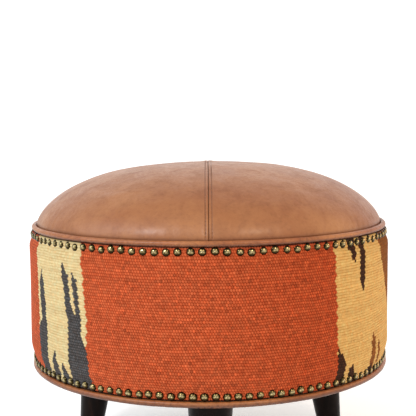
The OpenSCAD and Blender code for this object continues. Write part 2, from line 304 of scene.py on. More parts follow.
def kilim_material():
    """Wool yarn: the mesh carries the dye of each bead with painted light over it: a painted highlight on its
    crown, painted shade in the gaps and a painted shadow along the band's edges.
    """
    m = Nodes("kilim_wool", roughness=0.95, specular_ior_level=0.06, sheen_weight=0.04, sheen_roughness=0.5)
    # the yarn colour attribute holds each bead's dye together with its painted highlight and painted shade
    yarn = m.colour("yarn")
    fibres = m.noise(1900, 4, 0.65, m.stretch(1, 1, 2.6))
    fuzz = m.noise(5200, 2, 0.6)
    shaded = m.mix(1.0, yarn, (0.4, 0.3, 0.22, 1), "MULTIPLY")
    # painted highlight: a lighter copy of the yarn where stray fuzz fibres catch the light
    fuzz_highlight = m.mix(1.0, yarn, (1.5, 1.5, 1.5, 1), "MULTIPLY")
    tone = m.mix(m.spread(fibres, 0.35, 0.7, 0.0, 0.3), yarn, shaded)
    tone = m.mix(m.spread(fuzz, 0.55, 0.8, 0, 0.15), tone, fuzz_highlight)
    return m.finish(tone, None, m.bump(m.maths("ADD", fibres, fuzz), 0.2 * MM, 0.5))


def brass_material():
    """Domed brass: a painted highlight in a ring round the crown, dark patina towards the rim and in small
    pits, and painted shade on the lower side.
    """
    m = Nodes("antique_brass", metallic=1.0)
    rim = m.value("rim")
    patina = m.noise(420, 4, 0.6)
    # painted light: the bright stop is a painted highlight ring round the crown; the darkest stops are patina
    # at the rim and painted shade on the lower side
    patina_and_painted_light = m.ramp(rim, (0.0, srgb(132, 114, 70)), (0.2, srgb(194, 178, 134)), (0.38, srgb(112, 96, 58)),
                  (0.62, srgb(54, 46, 27)), (1.0, srgb(16, 12, 8)))
    tone = m.mix(m.spread(patina, 0.55, 0.76, 0, 0.3), patina_and_painted_light, srgb(52, 46, 26))
    rough = m.spread(patina, 0.35, 0.7, 0.2, 0.3)
    return m.finish(tone, rough, m.bump(m.noise(300, 2), 0.04 * MM, 0.1))


def lacquer_material():
    """Near-black stained wood under satin lacquer."""
    m = Nodes("dark_lacquered_wood", coat_weight=0.03, coat_roughness=0.12, specular_ior_level=0.06)
    grain = m.noise(70, 6, 0.6, m.stretch(1, 1, 0.08), distortion=0.8)
    pores = m.noise(900, 2, 0.5, m.stretch(1, 1, 0.03))
    tone = m.ramp(grain, (0.3, srgb(9, 5, 4)), (0.62, srgb(24, 13, 9)), (0.8, srgb(46, 26, 17)))
    tone = m.mix(m.spread(pores, 0.6, 0.75, 0, 0.8), tone, srgb(9, 6, 5))
    rough = m.spread(grain, 0.3, 0.7, 0.26, 0.4)
    return m.finish(tone, rough, m.bump(pores, 0.1 * MM, 0.25))


def softwood_material():
    """Pine: soft streaky grain that runs up the posts."""
    m = Nodes("pine_softwood", specular_ior_level=0.3)
    light, dark = srgb(222, 184, 128), srgb(180, 130, 78)
    grain = m.noise(90, 6, 0.65, m.stretch(1, 1, 0.06), distortion=1.2)
    streaks = m.noise(810, 3, 0.5, m.stretch(1, 1, 0.06))
    tone = m.ramp(grain, (0.3, dark), (0.5, light), (0.7, dark))
    tone = m.mix(m.spread(streaks, 0.5, 0.75, 0, 0.4), tone, dark)
    return m.finish(tone, m.spread(streaks, 0.3, 0.7, 0.55, 0.8), m.bump(streaks, 0.2 * MM, 0.4))


def plywood_material():
    """Birch plywood: thin dark glue lines between plies, seen on the edge, long grain on the faces."""
    m = Nodes("birch_plywood", specular_ior_level=0.3)
    plies = m.add("ShaderNodeTexWave", "Fac", {"Scale": 52, "Distortion": 0.15, "Vector": m.coords},
                  wave_type="BANDS", bands_direction="Z", wave_profile="SAW")
    grain = m.noise(55, 6, 0.6, m.stretch(1, 0.05, 1), distortion=0.9)
    tone = m.ramp(grain, (0.3, srgb(196, 160, 112)), (0.55, srgb(222, 192, 146)), (0.75, srgb(178, 140, 94)))
    tone = m.mix(m.spread(plies, 0.86, 0.98, 0, 0.7), tone, srgb(96, 66, 38))
    return m.finish(tone, m.spread(grain, 0.3, 0.7, 0.55, 0.75), m.bump(grain, 0.2 * MM, 0.3))


def fibre_material(name, base, dark, scale, roughness=0.9):
    """Matted or spun fibres: felt, wadding, cotton, non-woven cloth."""
    m = Nodes(name, roughness=roughness, specular_ior_level=0.2, sheen_weight=0.2, sheen_roughness=0.6)
    fibres = m.noise(scale, 6, 0.7, distortion=2.5)
    clumps = m.noise(scale * 0.12, 3, 0.5)
    tone = m.ramp(fibres, (0.35, dark), (0.62, base))
    tone = m.mix(m.spread(clumps, 0.3, 0.8, 0, 0.25), tone, dark)
    return m.finish(tone, None, m.bump(fibres, 0.4 * MM, 0.6))


def foam_material():
    """Cut foam: open cells with painted shade in their hollows, yellowed in places."""
    m = Nodes("cut_foam", roughness=0.95, specular_ior_level=0.15)
    open_cells = m.cells(700, "DISTANCE_TO_EDGE")
    # painted shade: darker towards the middle of each open cell
    tone = m.ramp(open_cells, (0.0, srgb(232, 214, 160)), (0.25, srgb(206, 182, 120)),
                  (0.6, srgb(160, 134, 80)))
    tone = m.mix(m.spread(m.noise(22, 3), 0.4, 0.7, 0, 0.3), tone, srgb(214, 180, 104))
    return m.finish(tone, None, m.bump(open_cells, 0.5 * MM, 0.8))


def zinc_material():
    """Zinc plate with a faint spangle and fine scratches."""
    m = Nodes("zinc_plated_steel", metallic=1.0)
    spangle = m.cells(600)
    scratches = m.noise(900, 3, 0.6, m.stretch(1, 1, 0.1))
    tone = m.ramp(spangle, (0.0, srgb(196, 198, 200)), (1.0, srgb(150, 152, 156)))
    return m.finish(tone, m.spread(scratches, 0.3, 0.7, 0.25, 0.5), m.bump(scratches, 0.05 * MM, 0.4))


def plastic_material():
    """Dark moulded plastic, finely stippled."""
    m = Nodes("moulded_plastic", specular_ior_level=0.4)
    stipple = m.noise(1600, 2, 0.5)
    tone = m.mix(m.spread(stipple, 0.3, 0.7, 0, 0.4), srgb(58, 54, 50), srgb(34, 32, 30))
    return m.finish(tone, m.spread(m.noise(90, 3), 0.3, 0.7, 0.5, 0.7), m.bump(stipple, 0.06 * MM, 0.5))


LEATHER = leather_material("tan_leather", srgb(143, 86, 46), srgb(158, 102, 59), srgb(108, 60, 31))
WELT_LEATHER = leather_material("welt_leather", srgb(145, 80, 39), srgb(168, 105, 58), srgb(78, 38, 17))
THREAD = thread_material()
KILIM = kilim_material()
BRASS = brass_material()
LACQUER = lacquer_material()
PLYWOOD = plywood_material()
SOFTWOOD = softwood_material()
HARDBOARD = fibre_material("hardboard", srgb(112, 76, 48), srgb(72, 46, 28), 700, 0.7)
CARD = fibre_material("tack_card", srgb(166, 138, 100), srgb(128, 102, 70), 900, 0.85)
COTTON = fibre_material("cotton", srgb(226, 216, 192), srgb(176, 164, 138), 1400)
WADDING = fibre_material("polyester_wadding", srgb(244, 243, 240), srgb(206, 205, 202), 420)
FELT = fibre_material("wool_felt", srgb(66, 60, 56), srgb(36, 32, 30), 1500)
DUST_CLOTH = fibre_material("black_nonwoven", srgb(40, 39, 40), srgb(18, 18, 19), 1100)
FOAM = foam_material()
ZINC = zinc_material()
PLASTIC = plastic_material()

# ---- leather seat ----


def crown_height(r):
    """Height of the seat's outer profile above the floor at radius r, up to the rim."""
    inside = np.clip(1 - (np.minimum(r, DOME_R) / DOME_R) ** PLAN_POWER, 0, 1)
    return CROWN_BASE + CROWN_H * inside ** (1 / HEIGHT_POWER)


def crown_normal(points):
    """Outward unit normals of the seat's outer surface."""
    r = np.hypot(points[:, 0], points[:, 1])
    out = PLAN_POWER / DOME_R * (np.clip(r / DOME_R, 0, 1)) ** (PLAN_POWER - 1)
    rise = np.clip((points[:, 2] - CROWN_BASE) / CROWN_H, 0, 1)
    up = HEIGHT_POWER / CROWN_H * rise ** (HEIGHT_POWER - 1)
    flat = points[:, :2] / np.maximum(r, 1e-9)[:, None]
    normal = np.column_stack([flat * out[:, None], up])
    return normal / np.linalg.norm(normal, axis=1)[:, None]


def simulated_puff():
    """How far a stuffed cover swells at points of the dome when its rim and seam are held.

    A coarse dome is inflated as cloth, with gravity off. The answer is a function of points, in metres."""
    rings, spokes = 34, 120
    angle = circle(spokes)
    verts = [(0.0, 0.0, DOME_TOP)]
    for ring in range(1, rings + 1):
        r = DOME_R * math.sin(math.pi / 2 * ring / rings) ** (2 / PLAN_POWER)
        z = float(crown_height(np.array(r)))
        verts += [(r * math.cos(a), r * math.sin(a), z) for a in angle]
    faces = [(0, 1 + i, 1 + (i + 1) % spokes) for i in range(spokes)]
    faces += grid_faces(rings, spokes, closed=True, first=1)
    mesh = bpy.data.meshes.new("puff")
    mesh.from_pydata(verts, [], faces)
    obj = add_object("puff", mesh)
    held = obj.vertex_groups.new(name="held")
    for i, (x, _, z) in enumerate(verts):
        on_rim = z < CROWN_BASE + 2 * MM
        on_seam = abs(x) < 5 * MM
        if on_rim or on_seam:
            held.add([i], 1.0 if on_rim else 0.9, "REPLACE")
    cloth = obj.modifiers.new("cloth", "CLOTH").settings
    cloth.quality = 6
    cloth.mass = 0.4
    cloth.tension_stiffness = cloth.compression_stiffness = 40
    cloth.bending_stiffness = 8
    cloth.use_pressure = True
    cloth.uniform_pressure_force = 4
    cloth.vertex_group_mass = "held"
    cloth.effector_weights.gravity = 0
    scene = bpy.context.scene
    for step in range(1, 21):
        scene.frame_set(step)
    shown = obj.evaluated_get(bpy.context.evaluated_depsgraph_get()).to_mesh()
    moved = np.array([v.co for v in shown.vertices])
    scene.frame_set(1)
    start = np.array(verts)
    swell = np.einsum("ij,ij->i", moved - start, crown_normal(start))
    bpy.data.objects.remove(obj)
    swell = np.clip(swell, 0, 8 * MM)
    tree = KDTree(len(start))
    for i, point in enumerate(start):
        tree.insert(point, i)
    tree.balance()

    def swell_at(points):
        """The mean swelling of the four nearest points of the coarse dome, the nearer ones counting more."""
        found = np.zeros(len(points))
        for n, point in enumerate(points):
            near = tree.find_n(point, 4)
            weight = np.array([1 / (d + 2 * MM) ** 2 for _, _, d in near])
            found[n] = sum(w * swell[i] for w, (_, i, _) in zip(weight, near)) / weight.sum()
        return found

    return swell_at


def seam_profile(x):
    """Rise of the leather near the centre seam, against the distance from it."""
    lift = 1.0 * MM * np.exp(-((x / (12 * MM)) ** 2))
    groove = -1.5 * MM * np.exp(-((x / (0.45 * MM)) ** 2))
    pull = -0.75 * MM * np.exp(-(((x - STITCH_OFFSET) / (0.75 * MM)) ** 2))
    step = 0.35 * MM * (1 - smooth_step(x, STITCH_OFFSET, STITCH_OFFSET + 4 * MM))
    return lift + groove + pull + step


# How far from the seam the cover's mesh has columns that run along it, closest at the seam and stitches
SEAM_COLUMNS = MM * np.array(
    [0, 0.2, 0.4, 0.65, 0.95, 1.5, 2.2, 2.9, 3.3, 3.7, 4, 4.3, 4.7, 5.2, 6, 7.5, 10, 13, 17])
SEAM_GAP = 0.05 * MM             # half the gap that the two halves leave at the seam


def cover_columns():
    """Start and end of each mesh column on plan. Near the seam they run along it, and then they fan out."""
    hub = SEAM_COLUMNS[-1]
    front, fan, back = [], [], []
    for x in SEAM_COLUMNS:
        y = math.sqrt(DOME_R**2 - x**2)
        front.append([(x, 0), (x, -y)])
        back.insert(0, [(x, 0), (x, y)])
    for angle in np.radians(np.linspace(-90, 90, 260))[1:-1]:
        c, s = math.cos(angle), math.sin(angle)
        reach = -hub * c + math.sqrt(DOME_R**2 - (hub * s) ** 2)
        fan.append([(hub, 0), (hub + reach * c, reach * s)])
    columns = np.array(front + fan + back)
    return columns[:, 0], columns[:, 1]


def cover_grid():
    """Points of the plain half cover, row by row: over the crown, round the rim and down the skirt."""
    starts, ends = cover_columns()
    share = np.sin(np.radians(np.linspace(0, 90, 150))) ** (2 / PLAN_POWER)
    plan = starts + share[:, None, None] * (ends - starts)
    top = np.dstack([plan, crown_height(np.hypot(plan[..., 0], plan[..., 1]))])
    side_levels = [(DOME_R, CROWN_BASE - 1.5 * MM), (DOME_R, CROWN_BASE - 3 * MM),
                   (DOME_R - 0.3 * MM, BAND_TOP + 1.5 * MM), (SKIRT_R, BAND_TOP - 2 * MM),
                   (SKIRT_R, SKIRT_BOTTOM)]
    around = ends / np.hypot(ends[:, 0], ends[:, 1])[:, None]
    skirt = [np.column_stack([around * r, np.full(len(ends), z)]) for r, z in side_levels]
    return np.concatenate([top, skirt])


def cover_relief(points, stitch, fade, side):
    """Rise of the leather over the plain cover: seam, stitches, slight swells and gathers at the rim."""
    arc = np.interp(np.abs(points[:, 1]), *profile_length())
    rise = seam_profile(points[:, 0]) * smooth_step(points[:, 2], BAND_TOP, CROWN_BASE)
    rise += 0.22 * MM * stitch * np.cos(2 * math.pi * arc / STITCH_PITCH) * fade
    rise += 0.7 * MM * waves(points, 0.12, 3 + side) * fade
    rise += 0.28 * MM * waves(points, 0.035, 5 + side) * fade
    azimuth = np.degrees(np.arctan2(points[:, 1], points[:, 0]))
    near_rim = np.exp(-np.clip(points[:, 2] - BAND_TOP, 0, 1) / (16 * MM))
    gather = np.sin(azimuth * 1.9 + 2.2 * waves(points, 0.05, 11 + side)) * near_rim
    return rise + 0.22 * MM * gather * fade


def shell_faces(rows, width):
    """Faces of a grid of points and of a second grid inside it, joined along the seam and the skirt."""
    count = rows * width
    outer = grid_faces(rows, width)
    inner = [[a + count for a in face[::-1]] for face in outer]
    place = np.arange(count).reshape(rows, width)
    border = [*place[:, 0].tolist(), *place[-1, 1:].tolist(), *place[-2::-1, -1].tolist()]
    edge = [[a, a + count, b + count, b] for a, b in zip(border, border[1:])]
    return outer + inner + edge


def cover_half(side, puff):
    """One half of the seat cover, as leather of an even thickness."""
    grid = cover_grid()
    plain = grid.reshape(-1, 3)
    normal = crown_normal(plain)
    fade = smooth_step(plain[:, 2], BAND_TOP + 1 * MM, BAND_TOP + 9 * MM)
    stitch = np.exp(-(((plain[:, 0] - STITCH_OFFSET) / (0.8 * MM)) ** 2))
    rise = cover_relief(plain, stitch, fade, side)
    if puff is not None:
        swell = puff(plain * [side, 1, 1])
        rise += (swell - np.median(swell)) * 0.5 * fade
    outer = plain + normal * rise[:, None]
    outer[:, 0] = np.maximum(outer[:, 0], SEAM_GAP)
    inner = outer - normal * LEATHER_T
    inner[:, 0] = np.maximum(inner[:, 0], SEAM_GAP)

    # Painted shade in the seam's groove and along the pulled stitch line; the leather is also darker towards
    # the rim.
    shaded_creases = 0.7 * np.exp(-((plain[:, 0] / (0.55 * MM)) ** 2))
    shaded_creases = np.maximum(shaded_creases, 0.5 * stitch * fade)
    rim = 1 - smooth_step(outer[:, 2], BAND_TOP + 6 * MM, BAND_TOP + 12 * MM)
    shaded_creases = np.maximum(shaded_creases, 0.6 * rim)

    faces = shell_faces(*grid.shape[:2])
    if side > 0:
        faces = [face[::-1] for face in faces]
    points = np.concatenate([outer, inner]) * [side, 1, 1]
    obj = new_object(f"leather_{SIDES[side]}", points, faces, LEATHER,
                     replaces=[f"cover_{SIDES[side]}"])
    attribute(obj, "shaded_creases", np.concatenate([shaded_creases, shaded_creases]))
    weld(obj)


def weld(obj):
    """Joins the points that fall together, such as those at a fan's hub, and drops empty faces."""
    work = bmesh.new()
    work.from_mesh(obj.data)
    bmesh.ops.remove_doubles(work, verts=work.verts, dist=0.004 * MM)
    bmesh.ops.dissolve_degenerate(work, edges=work.edges, dist=0.002 * MM)
    bmesh.ops.recalc_face_normals(work, faces=work.faces)
    for face in work.faces:
        face.smooth = True
    work.to_mesh(obj.data)
    work.free()


@cache
def profile_length():
    """Radii along the seat's profile and the distance of each from the crown, on the surface."""
    r = DOME_R * np.sin(np.radians(np.linspace(0, 90, 800))) ** (2 / PLAN_POWER)
    step = np.hypot(np.diff(r), np.diff(crown_height(r)))
    return r, np.concatenate([[0], np.cumsum(step)])


def topstitches(side):
    """A row of slightly slack, twisted stitches beside the seam."""
    radii, length = profile_length()
    per_side = int((length[-1] - 3 * MM) / STITCH_PITCH)
    rng = np.random.default_rng(40 + side)
    ring, rows = 8, 9
    verts, faces = [], []
    for way in (-1, 1):
        for n in range(per_side):
            centre = (n + 0.5) * STITCH_PITCH
            half = (STITCH_PITCH - 1.5 * MM) / 2
            turn = rng.uniform(-0.06, 0.06)
            base = len(verts)
            for k in range(rows):
                f = 2 * k / (rows - 1) - 1
                s = centre + f * half
                r = float(np.interp(s, length, radii))
                z = float(crown_height(np.array(r)))
                point = np.array([[STITCH_OFFSET + turn * f * half, way * r, z]])
                normal = crown_normal(point)[0]
                lift = (1.0 - 0.95 * abs(f) ** 3) * MM
                thick = 0.42 * MM * (1 - 0.25 * abs(f) ** 2)
                for a in circle(ring):
                    bulge = thick * (1 + 0.12 * math.cos(2 * a + 5 * f))
                    verts.append(point[0] + normal * (lift - 0.35 * MM + bulge * math.sin(a))
                                 + np.array([1, 0, 0]) * bulge * math.cos(a))
            faces += grid_faces(rows, ring, closed=True, first=base)
            faces.append([base + i for i in range(ring)][::-1])
            faces.append([base + (rows - 1) * ring + i for i in range(ring)])
    new_object(f"stitches_{SIDES[side]}", np.array(verts) * [side, 1, 1], faces, THREAD,
               replaces=[f"topstitch_{SIDES[side]}"])


# ---- kilim band ----

BEADS = 470                      # beads in one row of the weave, right round
ROWS = 53                        # rows of beads up the band
ACROSS, UP = 4, 4                # mesh columns and rows in one bead
PANELS = 5                       # lengths of cloth that make up the band

RUST, LEFT_CREAM, RIGHT_CREAM, CHARCOAL, UMBER, BROWN = range(6)
YARNS = np.array([srgb(*dye)[:3] for dye in (
    (170, 72, 38), (206, 185, 137), (205, 164, 98), (58, 56, 56), (50, 28, 16), (124, 72, 26))])

# How much each yarn's colour is lifted by a painted highlight on the crown of a bead, and darkened by painted
# shade in the gaps between beads
CROWN_HIGHLIGHTS = np.array([(1.34, 1.7, 2.0), (1.03, 1.03, 1.03), (1.03, 1.03, 1.05),
                   (2.2, 2.15, 2.1), (1.7, 1.6, 1.5), (1.15, 1.15, 1.15)])
GAP_SHADES = np.array([(0.42, 0.22, 0.1), (0.76, 0.66, 0.5), (0.72, 0.6, 0.42),
                 (0.35, 0.33, 0.3), (0.4, 0.35, 0.3), (0.6, 0.5, 0.4)])

# The pattern is a weaver's chart in whole beads to the right of the front and rows up from the foot.
# Where the ground colour changes, going right: (row, bead)
EDGES = [
    (LEFT_CREAM, [(0, -167), (53, -169)]),
    (RUST, [(0, -127), (53, -129)]),
    (LEFT_CREAM, [(0, -79), (20, -81), (53, -83)]),
    (RUST, [(0, -48), (26, -48), (53, -51)]),
    (RIGHT_CREAM, [(0, 51), (27, 50), (53, 49)]),
    (RUST, [(0, 112), (53, 107)]),
    (LEFT_CREAM, [(0, 193), (53, 189)]),
    (RUST, [(0, 234), (53, 231)]),
]

# Tapering marks: colour, then (row, left bead, right bead)
MARKS = [
    (CHARCOAL, [(41, -78, -78), (36, -80, -76), (22, -78, -74), (18, -81, -73), (0, -79, -73)]),
    (CHARCOAL, [(12, -67, -67), (8, -69, -66), (0, -70, -65)]),
    (CHARCOAL, [(8, -62, -62), (4, -63, -60), (0, -62, -59)]),
    (CHARCOAL, [(45, -61, -61), (41, -61, -58), (29, -59, -56), (25, -58, -51), (19, -58, -51),
                (14, -58, -48), (0, -57, -47)]),
    (CHARCOAL, [(42, -55, -55), (39, -55, -53), (25, -53, -51)]),
    (UMBER, [(14, 51, 51), (9, 51, 55), (0, 51, 55)]),
    (UMBER, [(7, 59, 59), (5, 58, 61), (0, 58, 62)]),
    (UMBER, [(53, 56, 61), (48, 58, 61), (44, 60, 60)]),
    (UMBER, [(53, 64, 67), (38, 64, 67), (32, 66, 66)]),
    (BROWN, [(53, 82, 107), (44, 83, 107), (33, 90, 107), (18, 103, 107)]),
    (BROWN, [(16, 75, 75), (13, 74, 77), (0, 73, 77)]),
    (UMBER, [(4, 75, 75), (2, 72, 76), (0, 72, 76)]),
    (BROWN, [(12, 81, 81), (8, 80, 82), (3, 80, 82)]),
]


def back_marks():
    """Marks of the same kind for the cream grounds at the back."""
    rng = np.random.default_rng(21)
    marks = []
    for low, high in ((-163, -132), (197, 228)):
        for _ in range(6):
            middle = rng.uniform(low, high)
            tall = rng.uniform(10, 43)
            wide = rng.uniform(2, 4.5)
            lean = rng.uniform(-1, 3)
            hangs = rng.random() < 0.35
            outline = []
            for part in (1.0, 0.86, 0.6, 0.3, 0.0):
                half = wide / 2 * (1 - part) ** 0.5 * rng.uniform(0.75, 1.15)
                row = ROWS - tall * part if hangs else tall * part
                x = middle - lean * part
                outline.append((row, x - half, x + half))
            marks.append((CHARCOAL, outline))
    return marks


def yarn_at(bead, row):
    """Which yarn a bead has, from its place right of the front and its row."""
    found = np.full(bead.shape, RUST)
    for colour, line in EDGES:
        found[bead > np.interp(row, *zip(*line))] = colour
    for colour, outline in MARKS + back_marks():
        levels, left, right = zip(*sorted(outline))
        left = np.interp(row, levels, left) - 0.3
        right = np.interp(row, levels, right) + 0.3
        found[(row >= levels[0]) & (row <= levels[-1]) & (bead > left) & (bead < right)] = colour
    return found


def ribbed(yarn):
    """1 for the two cream yarns, which lie in smoother ribs and are dyed more evenly, and 0 for the rest."""
    return np.isin(yarn, (LEFT_CREAM, RIGHT_CREAM)).astype(float)


def bead_colours():
    """One colour for every bead, by row and place in the row, with streaky dye, and painted warm shade that
    deepens the rust towards the right.

    Also tells which yarn each bead has."""
    rng = np.random.default_rng(9)
    row, place = np.meshgrid(np.arange(ROWS), np.arange(BEADS), indexing="ij")
    bead = (place + 0.5 + 0.5 * (row % 2) + BEADS / 2) % BEADS - BEADS / 2
    wander = 0.2 * np.sin(row * 1.7 + 0.4 * rng.normal(size=(ROWS, 1)))
    yarn = yarn_at(bead + wander, row + 0.5)
    uneven = rng.normal(size=(ROWS, BEADS, 1)) * (0.13 - 0.09 * ribbed(yarn)[..., None])
    batch = 1 + 0.03 * rng.normal(size=(ROWS, 1, 1)) + uneven
    # painted warm shade: the rust grows darker and more saturated towards the right, where the warm light
    # falls
    rust_right_shade = smooth_step(bead, -10, 50) * (yarn == RUST)
    warm = 1 + rng.normal(size=(ROWS, BEADS, 1)) * np.array([0.0, 0.05, 0.08])
    colour = np.clip(YARNS[yarn] * batch * warm * (1 - rust_right_shade[..., None] * [0.1, 0.22, 0.36]), 0.003, 0.95)
    return colour, yarn


def weave_height(u, v, yarns):
    """Bead relief from 0 in the gaps to 1 on a bead's top, and which bead a point is on.

    u counts beads round the band and v counts rows up it. Beads lean a little and interlock. Cream
    yarn lies in smoother ribs than the rest."""
    best = np.full(u.shape, -9.0)
    at_row = np.zeros(u.shape, int)
    at_place = np.zeros(u.shape, int)
    for row_step in (-1, 0, 1):
        row = np.floor(v).astype(int) + row_step
        for place_step in (-1, 0, 1):
            place = np.floor(u - 0.5 * (row % 2)).astype(int) + place_step
            du = u - (place + 0.5 + 0.5 * (row % 2))
            dv = v - (row + 0.5)
            score = 1 - ((du + 0.16 * dv) / 0.68) ** 2 - (dv / 0.76) ** 2
            nearer = (score > best) & (row >= 0) & (row < ROWS)
            best = np.where(nearer, score, best)
            at_row = np.where(nearer, row, at_row)
            at_place = np.where(nearer, place % BEADS, at_place)
    bead = np.clip((best - 0.3) / 0.7, 0, 1) ** 0.7
    dv = v - (at_row + 0.5)
    rib = np.clip(1 - (dv / 0.52) ** 2, 0, 1) ** 0.6 * (0.72 + 0.28 * bead)
    soft = ribbed(yarns[at_row, at_place])
    return bead * (1 - soft) + rib * soft, at_row, at_place


TOP_NAIL_COUNT, BOTTOM_NAIL_COUNT = 108, 116
TOP_NAIL_Z, BOTTOM_NAIL_Z = BAND_TOP - 5.9 * MM, BAND_BOTTOM + 4.6 * MM
NAIL_SIZE = 1.11                 # the heads are drawn this much larger than in the CAD, as the photo has them


def nail_places(count, z, seed):
    """Angle, height and size of each nail in a row, none of them quite in line."""
    rng = np.random.default_rng(seed)
    angle = 2 * math.pi * (np.arange(count) + 0.5) / count + rng.normal(size=count) * 0.5 * MM / BAND_R
    height = z + np.clip(rng.normal(size=count) * 0.55, -1.1, 1.1) * MM
    return angle, height, NAIL_SIZE + 0.02 * rng.normal(size=count)


def nail_dents(angle, z):
    """How far the nails press the kilim in, beyond the general pull along their row."""
    dent = np.zeros(angle.shape)
    dent_r = 6.5 * MM
    for angles, heights, _ in (TOP_NAILS, BOTTOM_NAILS):
        pitch = 2 * math.pi / len(angles)
        near = np.round(angle / pitch - 0.5).astype(int)
        for step in (-1, 0, 1):
            n = (near + step) % len(angles)
            along = (angle - angles[n] + math.pi) % (2 * math.pi) - math.pi
            away = np.hypot(along * BAND_R, z - heights[n])
            dent = np.maximum(dent, np.exp(-((away / dent_r) ** 2)))
    return dent


def kilim_radius(z):
    """Radius of the band's face: full in the middle, drawn in along both rows of nails."""
    below = 1 - smooth_step(z - BAND_BOTTOM, 4 * MM, 29 * MM)
    above = 1 - smooth_step(BAND_TOP - z, 6 * MM, 22 * MM)
    return BAND_R + 0.5 * MM - 4.6 * MM * below - 4 * MM * above


def tints_with_painted_light(relief, row, bead, near_end, colours, yarns):
    """Colour over the weave, with painted light: a painted highlight on a bead's crown, painted shade in the
    gaps and a painted shadow along the band's edges.
    """
    yarn = yarns[row, bead]
    # painted highlight on the crowns, painted shade in the gaps
    crown = smooth_step(relief, 0.5, 0.95)[..., None]
    deep = 1 - smooth_step(relief, 0.05, 0.75)[..., None]
    tint = colours[row, bead] * (1 + crown * (CROWN_HIGHLIGHTS[yarn] - 1)) * (1 + deep * (GAP_SHADES[yarn] - 1))
    # painted shadow along the band's top and bottom edges, under the welts
    return tint * (1 - 0.6 * np.exp(-near_end / (1.3 * MM))[..., None])


def panel_faces(count, width):
    """Faces of a sheet of rows that closes on itself, with a cap over each of its cut ends."""
    last = (count - 1) * width
    faces = grid_faces(count, width)
    faces += [[last + j, last + j + 1, j + 1, j] for j in range(width - 1)]
    faces.append([i * width for i in range(count)])
    faces.append([i * width + width - 1 for i in range(count)][::-1])
    return faces


def kilim_panel(number, colours, yarns):
    """One length of the band: woven outer face, rounded edges, turn-under and plain back."""
    per_panel = BEADS * ACROSS // PANELS
    u = (np.arange(per_panel + 1) + number * per_panel) / ACROSS
    angle = np.radians(u * 360 / BEADS - 90)
    uu, vv = np.meshgrid(u, np.arange(ROWS * UP + 1) / UP)
    turn = np.radians(uu * 360 / BEADS)
    place = np.dstack([np.sin(turn), np.cos(turn), vv / ROWS])
    pull_u = uu + 0.2 * waves(place, 0.12, 31)
    pull_v = vv + 0.3 * waves(place, 0.25, 32) + 0.12 * waves(place, 0.06, 33)
    relief, row, bead = weave_height(pull_u, np.clip(pull_v, 0, ROWS - 0.001), yarns)
    z = BAND_BOTTOM + vv / ROWS * BAND_H
    edge_r = 1.5 * MM
    near_end = np.minimum(z - BAND_BOTTOM, BAND_TOP - z)
    round_off = edge_r - np.sqrt(np.maximum(edge_r**2 - np.clip(edge_r - near_end, 0, edge_r) ** 2, 0))
    radius = kilim_radius(z) - 0.75 * MM + 0.85 * MM * relief - round_off
    radius += 0.4 * MM * waves(place, 0.3, 34) + 0.5 * MM * waves(place, 1.2, 35)
    radius -= 0.6 * MM * nail_dents(turn - math.pi / 2, z)
    face = np.dstack([radius * np.cos(angle)[None], radius * np.sin(angle)[None], z])

    def arcs(radii, heights):
        return [np.column_stack([r * np.cos(angle), r * np.sin(angle), np.full(len(angle), h)])
                for r, h in zip(radii, heights)]

    inner_r = BAND_R - KILIM_T
    under_in = inner_r - TURN_UNDER
    base = BAND_BOTTOM + KILIM_T
    back_z = np.linspace(BAND_TOP - 0.4 * MM, base, 17)
    below = arcs(np.linspace(under_in, BAND_R - 6.5 * MM, 8), [BAND_BOTTOM + 0.15 * MM] * 8)
    behind = arcs(kilim_radius(back_z) - 2.2 * MM, back_z)
    fold = arcs(np.linspace(inner_r - 4 * MM, under_in, 4), [base] * 4)
    rows = np.concatenate([below, face, behind, fold])
    count, width = rows.shape[:2]
    tint = tints_with_painted_light(relief, row, bead, near_end, colours, yarns)
    tint = np.concatenate([np.repeat(tint[:1], len(below), 0), tint,
                           np.repeat(tint[-1:], len(behind) + len(fold), 0)])
    obj = new_object(f"kilim_{number + 1}", rows.reshape(-1, 3), panel_faces(count, width), KILIM)
    # these colours carry the dye with the painted highlights, painted shade and painted edge shadow
    colour_attribute(obj, "yarn", tint.reshape(-1, 3))
    share = np.cumsum(np.concatenate([[0], np.linalg.norm(np.diff(rows[:, 0], axis=0), axis=1)]))
    uv_v = np.repeat(share[:, None] / share[-1], width, 1)
    uv_u = np.repeat(np.linspace(0, 1, width)[None], count, 0)
    unrolled_uv(obj, uv_u.ravel() * 0.998 + 0.001, uv_v.ravel() * 0.998 + 0.001)
    return obj


def kilim_band():
    """The whole band, in place of the CAD's."""
    colours, yarns = bead_colours()
    panels = [kilim_panel(n, colours, yarns) for n in range(PANELS)]
    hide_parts("kilim_band")


# ---- welts ----


